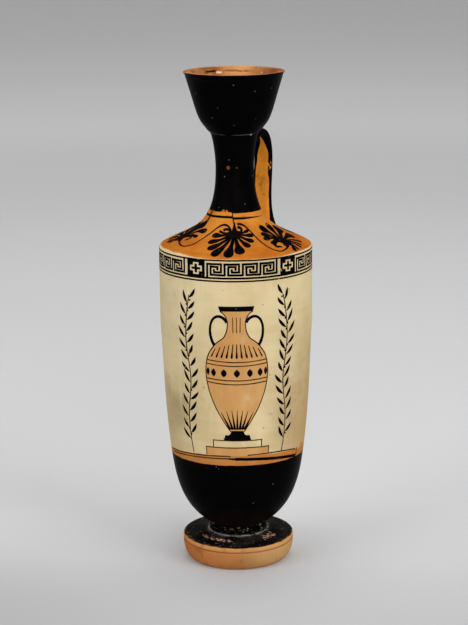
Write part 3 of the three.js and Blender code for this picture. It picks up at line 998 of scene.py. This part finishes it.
def swell(start, end, share):
    share = min(1.0, max(0.0, (share - start) / (end - start)))
    return share * share * (3 - 2 * share)


def club(root, bulb, length):  # a stem that swells to a bulb with a round end
    tip = min(fronds["longestRound"], fronds["round"] * bulb / length)

    def width(share):
        even = fronds["even"]
        grown = even * share + (1 - even) * swell(fronds["neck"], fronds["club"], share)
        end = max(0.0, (share - 1 + tip) / tip)
        return max(brush["least"], (root + (bulb - root) * grown) * math.sqrt(max(0.0, 1 - end * end)))
    return width


def between(first, final):  # a breadth that changes evenly along a stroke
    return lambda t: first + (final - first) * t


def outwards(degrees):
    return Vector((math.sin(math.radians(degrees)), -math.cos(math.radians(degrees))))


def drawPalmette(sheet, one):
    heart = Vector(one["heart"])
    size = one["size"]
    for angle, length, breadth in one["blades"]:
        length *= size
        out = outwards(one["axis"] + angle)
        aside = squareTo(out) * (fronds["bend"] * angle * length)
        path = [heart + out * fronds["start"], heart + out * length * 0.5 - aside, heart + out * length]
        blade = club(fronds["root"] * size, breadth * size, length)
        stroke(sheet, path, blade, across=4, step=fronds["step"])
    forward = outwards(one["axis"])
    across = squareTo(forward)
    half, edge, middle = (size * part for part in one["mass"])
    mass = [heart - across * half, heart + across * half]
    stroke(sheet, mass, lambda t: edge + middle * math.sin(math.pi * t), across=2)
    tall, foot = (size * part for part in fronds["spike"])
    stroke(sheet, [heart, heart - forward * tall], lambda t: foot * (1 - t) + fronds["spikeTip"], across=2)
    first, final = (size * part for part in one["hook"])
    for curl in one["curls"]:
        path = [heart + (across * side - forward * back) * size for side, back in curl]
        stroke(sheet, path, between(first, final), across=2, step=fronds["step"])


def tendrilWidth(t):
    return fronds["tendril"] * (1 + (fronds["tendrilThick"] - 1) * swell(fronds["tendrilEnd"], 1, t))


def makeShoulderPaint():
    sheet = bmesh.new()
    for one in palmettes:
        drawPalmette(sheet, one)
    for path in tendrils:
        stroke(sheet, path, tendrilWidth, across=2)
    lay(sheet, fromAbove)
    paint = makeFinish("palmettePaint", brushedFinish(clay["light"]))
    keep(sheet, "shoulderPalmettes", paint, "black_gloss")


makeShoulderPaint()
print("palmettes drawn")


# The picture: a two-handled jar on a stepped base, between two laurel sprays
jar = {
    "side": [(4.4, 97.4), (8.6, 103.5), (14.6, 114), (19.2, 127), (20.4, 138), (18.4, 148), (13.2, 155.4),
             (7.6, 160.2), (6.1, 164), (5.7, 169), (6.9, 173), (10.4, 176.2)],
    "handle": [(6.0, 169.0), (8.4, 171.9), (11.6, 172.9), (14.6, 171.3), (16.4, 167.6), (16.8, 162.6),
               (15.9, 157.9), (14.2, 154.2)],
    "line": 0.75, "strap": (1.5, 1.0),  # breadth at the middle, and growth towards the ends
    # foot, top and the breadth at both
    "mouldings": [(176.1, 179.3, 20.4, 22.6), (91.6, 95.2, 19.6, 16.8), (95.0, 98.2, 12.4, 7.6)],
    "flare": 0.6, "bands": [129.5, 132.0, 141.5, 144.0], "bandInset": 0.3, "sag": 0.7,
    "dots": (7, 1, 2.6, 3.4, 0.6),  # count, inset, half height, breadth and least breadth
    "tongues": (11, 145.6, 155.2, 3.6, 0.95), "tongue": (0.5, 1.5, 0.5),  # count, foot, top, drop and spread
    "rays": (7, 99, 112, 2, 0.93), "ray": (1.75, 0.25),
    "reeds": (-2.2, 0, 2.2), "reed": (162.6, 172.4, 1.1, 0.6),
}
plinth = [(81.2, 86.6, 22.5), (86.6, 91.5, 17.0)]  # foot, top and half width of each step
spray = {
    "stem": [(33.5, 81), (35.2, 104), (32.2, 130), (34.8, 156), (31.6, 185)], "line": 0.8,
    "leaf": (9.4, 2.1, 0.8, 0.6),  # length, breadth, start and bow
    "lean": 38, "tip": (6, 14),  # leaves lean less towards the tip
    "from": 9, "every": 7.4, "past": 1,
    "leanVary": (0.85, 1.15), "leafVary": (0.88, 1.08), "everyVary": (0.9, 1.1),
    "berry": (0.45, 2.6, 2.2), "berryDisc": {"cap_ends": True, "radius": 0.7, "segments": 14},
}
ground = {
    "thin": [[(-64.2, 76.9), (-54, 78.1), (-26.5, 80.2), (-9.4, 80.9), (-5, 80.5)],
             [(-62.5, 75.5), (-46, 77.2), (-28.3, 78.5), (-7.7, 79.2), (-2, 79.1)],
             [(7, 81.4), (22.5, 81.6), (38, 80.8), (49.7, 79.3)], [(51.2, 79.9), (51.6, 74.6)]],
    "thick": [(-7, 79.0), (1.3, 78.9), (14, 78.4), (25.7, 77.5), (42.8, 75.7), (51, 74.6)],
    "line": 0.8, "bar": 2.0, "barStart": 0.35, "barGrowth": 6,
}
jarTone = {
    "wash": srgb(188, 137, 80), "washLight": srgb(199, 153, 97), "washThin": (60, 4, 0.55, 0.75, 0.35),
    "washStreaks": (60, 14, 3), "streakLevels": (0.3, 0.7),
    "line": srgb(38, 24, 14), "linePale": srgb(104, 66, 28), "lineThin": (70, 4, 0.4, 0.7),
    "washProud": 0.04, "lineProud": 0.06, "blackProud": 0.08,
}
jarSide = smoothLine(jar["side"], brush["step"], even=True)


def alongLine(line, distance):  # place and direction at a distance along a line
    for start, end in zip(line, line[1:]):
        step = end - start
        if distance <= step.length:
            return start + step * (distance / step.length), step.normalized()
        distance -= step.length
    return line[-1], (line[-1] - line[-2]).normalized()


def mirrored(path, side):
    return [(side * x, y) for x, y in path]


def lens(width):
    return lambda t: max(brush["least"], width * math.sin(math.pi * t) ** brush["lens"])


def spaced(count):  # middles of equal shares between -1 and 1
    return [2 * (k + 0.5) / count - 1 for k in range(count)]


def jarHalf(level):  # half of the jar's breadth at a level
    below, above = [pair for pair in zip(jarSide, jarSide[1:]) if pair[0].y <= level][-1]
    return below.x + (above.x - below.x) * min(1.0, (level - below.y) / (above.y - below.y))


def strapWidth(t):
    middle, growth = jar["strap"]
    return middle + growth * abs(t - 0.5)


def barWidth(t):
    return ground["bar"] * min(1.0, ground["barStart"] + ground["barGrowth"] * t)


def drawJar(wash, lines, black):
    low, high = jarSide[0].y, jarSide[-1].y
    stroke(wash, [(0, low), (0, high)], lambda t: 2 * jarHalf(low + (high - low) * t), across=24)
    for side in (-1, 1):
        stroke(lines, mirrored(jar["side"], side), jar["line"])
        stroke(black, mirrored(jar["handle"], side), strapWidth, across=2)
    for foot, top, first, final in jar["mouldings"]:
        path = [(0, foot), (0, top)]
        stroke(black, path, lambda t: first + (final - first) * t ** jar["flare"], across=12)
    foot, top, spread, line = jar["reed"]
    for x in jar["reeds"]:
        stroke(lines, [(x, foot), (x * spread, top)], line)


def drawJarBands(lines, black):
    sag = jar["sag"]
    for level in jar["bands"]:
        half = jarHalf(level) - jar["bandInset"]
        stroke(lines, [(-half, level + sag), (0, level - sag), (half, level + sag)], jar["line"])
    middle = sum(jar["bands"]) / len(jar["bands"])
    count, inset, half, wide, least = jar["dots"]
    for share in spaced(count):
        turn = share * math.pi / 2
        x = (jarHalf(middle) - inset) * math.sin(turn)
        y = middle - sag + 2 * sag * share * share
        width = lens(wide * math.cos(turn) ** 0.5 + least)
        stroke(black, [(x, y - half), (x, y + half)], width, across=2)
    count, foot, top, drop, spread = jar["tongues"]
    root, wide, narrower = jar["tongue"]
    for share in spaced(count):
        out = share * share
        tip = top - drop * out
        path = [(share * jarHalf(tip) * spread, tip), (share * jarHalf(foot) * spread, foot + out)]
        stroke(black, path, club(root, wide - narrower * out, tip - foot))
    count, foot, top, drop, spread = jar["rays"]
    for share in spaced(count):
        path = [(share * jarHalf(foot), foot), (share * jarHalf(top) * spread, top - drop * share * share)]
        stroke(black, path, between(*jar["ray"]))


def drawPlinth(wash, lines):
    for foot, top, half in plinth:
        stroke(lines, [(-half, foot), (-half, top), (half, top), (half, foot)], jar["line"])
    foot, top, half = plinth[0]
    stroke(wash, [(-half, (foot + top) / 2), (half, (foot + top) / 2)], top - foot, across=4)


def drawSpray(lines, black, side):
    path = mirrored(spray["stem"], side)
    stem = smoothLine(path, brush["step"], even=True)
    stroke(lines, path, spray["line"])
    length = sum((b - a).length for a, b in zip(stem, stem[1:]))
    longest, breadth, begin, bow = spray["leaf"]
    beyond, fading = spray["tip"]
    chance, aside, ahead = spray["berry"]
    distance, turn = spray["from"], 1
    while distance < length + spray["past"]:
        spot, along = alongLine(stem, distance)
        fade = min(1.0, (length + beyond - distance) / fading)
        lean = math.radians(spray["lean"] * hand.uniform(*spray["leanVary"])) * turn * fade
        out = along * math.cos(lean) + squareTo(along) * math.sin(lean)
        reach = longest * hand.uniform(*spray["leafVary"])
        middle = spot + out * reach * 0.5 + squareTo(out) * (bow * turn)
        stroke(black, [spot + out * begin, middle, spot + out * reach], lens(breadth), across=3)
        if hand.random() < chance:
            berry = spot - squareTo(out) * (aside * turn) + out * ahead
            place = Matrix.Translation((berry.x, berry.y, 0))
            bmesh.ops.create_circle(black, matrix=place, **spray["berryDisc"])
        distance += spray["every"] / 2 * hand.uniform(*spray["everyVary"])
        turn = -turn


def washFinish(p):
    coat = creamCoat(p)
    streaks = p.drawnOut(*jarTone["washStreaks"]).ramp(*jarTone["streakLevels"])
    tan = streaks.blend(jarTone["wash"], jarTone["washLight"])
    tint(coat, 1 - p.patches(*jarTone["washThin"]), tan)
    return coat


def thinLineFinish(p):  # slip thinned to a brown line
    coat = glossCoat(p)
    coat["colour"] = p.patches(*jarTone["lineThin"]).blend(jarTone["line"], jarTone["linePale"])
    return coat


def makePicture():
    wash, lines, black = bmesh.new(), bmesh.new(), bmesh.new()
    drawJar(wash, lines, black)
    drawJarBands(lines, black)
    drawPlinth(wash, lines)
    for side in (-1, 1):
        drawSpray(lines, black, side)
    for path in ground["thin"]:
        stroke(lines, path, ground["line"])
    stroke(black, ground["thick"], barWidth, across=2)
    lay(wash, fromSide, jarTone["washProud"])
    lay(lines, fromSide, jarTone["lineProud"])
    lay(black, fromSide, jarTone["blackProud"])
    keep(wash, "pictureWash", makeFinish("tanWash", washFinish), "white_slip")
    keep(lines, "pictureLines", makeFinish("brownLine", thinLineFinish), "black_gloss")
    keep(black, "pictureBlack", makeFinish("blackLine", brushedFinish(cream["deep"])), "black_gloss")


makePicture()
print("picture drawn")


# Floor and backdrop: one round sweep, with painted shade and light in soft zones
sweep = {"floor": 1900, "bend": 1100, "wall": 2600, "steps": 96, "bendSteps": 12, "drop": 0.05}
stageGrey = {
    "front": srgb(176, 176, 178), "near": srgb(206, 206, 207), "bend": srgb(219, 219, 219),
    "far": srgb(184, 184, 184), "side": srgb(140, 140, 142),
}
stageZones = {  # metres, and a share where there is one
    "near": (-0.3, 0.1), "left": (0.0, 0.16, 0.4), "right": (0.03, 0.2, 0.15), "sideEnd": (-0.1, 0.1),
    "bend": (1.4, 2.1), "bendBack": (-0.2, 1.0), "far": (2.05, 2.6),
}


def stageFinish():
    material, p = emptyFinish("sweepFinish")
    away = p.node("VectorMath", {"operation": "LENGTH"}, {0: p}, "Value")
    aside, back = p.part(0), p.part(1)
    # painted shade: darker in front of the flask and towards the front corners, more on the left
    colour = back.ramp(*stageZones["near"]).blend(stageGrey["front"], stageGrey["near"])
    shade = (aside * -1).ramp(*stageZones["left"]) + aside.ramp(*stageZones["right"])
    shade = shade * (1 - back.ramp(*stageZones["sideEnd"]))
    colour = shade.blend(colour, stageGrey["side"])
    # painted light: paler where the floor bends up, darker again far away
    bend = away.ramp(*stageZones["bend"]) * back.ramp(*stageZones["bendBack"])
    colour = bend.blend(colour, stageGrey["bend"])
    colour = away.ramp(*stageZones["far"]).blend(colour, stageGrey["far"])
    shader = p.node("BsdfDiffuse", None, {"Color": colour})
    p.node("OutputMaterial", None, {"Surface": shader})
    return material


def makeStage():
    flat, bend, steps = sweep["floor"], sweep["bend"], sweep["bendSteps"]
    points = [(0, 0), (flat, 0)]
    for k in range(1, steps + 1):
        angle = math.pi / 2 * k / steps
        points.append((flat + bend * math.sin(angle), bend - bend * math.cos(angle)))
    points.append((flat + bend, sweep["wall"]))
    line = [(radius * mm, (level - sweep["drop"]) * mm) for radius, level in points]
    floor = asObject(turnShape(line, False, sweep["steps"]), "sweep", stageFinish())


lamps = [  # place from the front in metres, width in metres, watts, spread in degrees
    {"name": "keyLamp", "place": (1.7, -1.5, 1.7), "width": 1.5, "power": 32, "spread": 180},
    {"name": "fillLamp", "place": (-1.9, -1.2, 1.3), "width": 1.5, "power": 22, "spread": 180},
    {"name": "frontLamp", "place": (0.5, -2.4, 0.8), "width": 1.2, "power": 4.3, "spread": 70},
    {"name": "topLamp", "place": (0.0, 0.5, 2.4), "width": 1.6, "power": 24, "spread": 180},
]
lampAim = Vector((0, 0, 0.16))  # the middle of the flask, in metres
worldLight = 0.38


def makeLights():
    for lamp in lamps:
        data = bpy.data.lights.new(lamp["name"], "AREA")
        data.size = lamp["width"]
        data.energy = lamp["power"]
        data.spread = math.radians(lamp["spread"])
        light = bpy.data.objects.new(lamp["name"], data)
        bpy.context.scene.collection.objects.link(light)
        place = toFront @ Vector(lamp["place"])
        turn = (lampAim - place).to_track_quat("-Z", "Y").to_matrix().to_4x4()
        light.matrix_world = Matrix.Translation(place) @ turn
    world = bpy.data.worlds.new("studio")
    bpy.context.scene.world = world
    world.use_nodes = True
    back = world.node_tree.nodes["Background"]
    back.inputs["Color"].default_value = (1, 1, 1, 1)
    back.inputs["Strength"].default_value = worldLight


makeStage()
makeLights()
print("stage and lamps set")
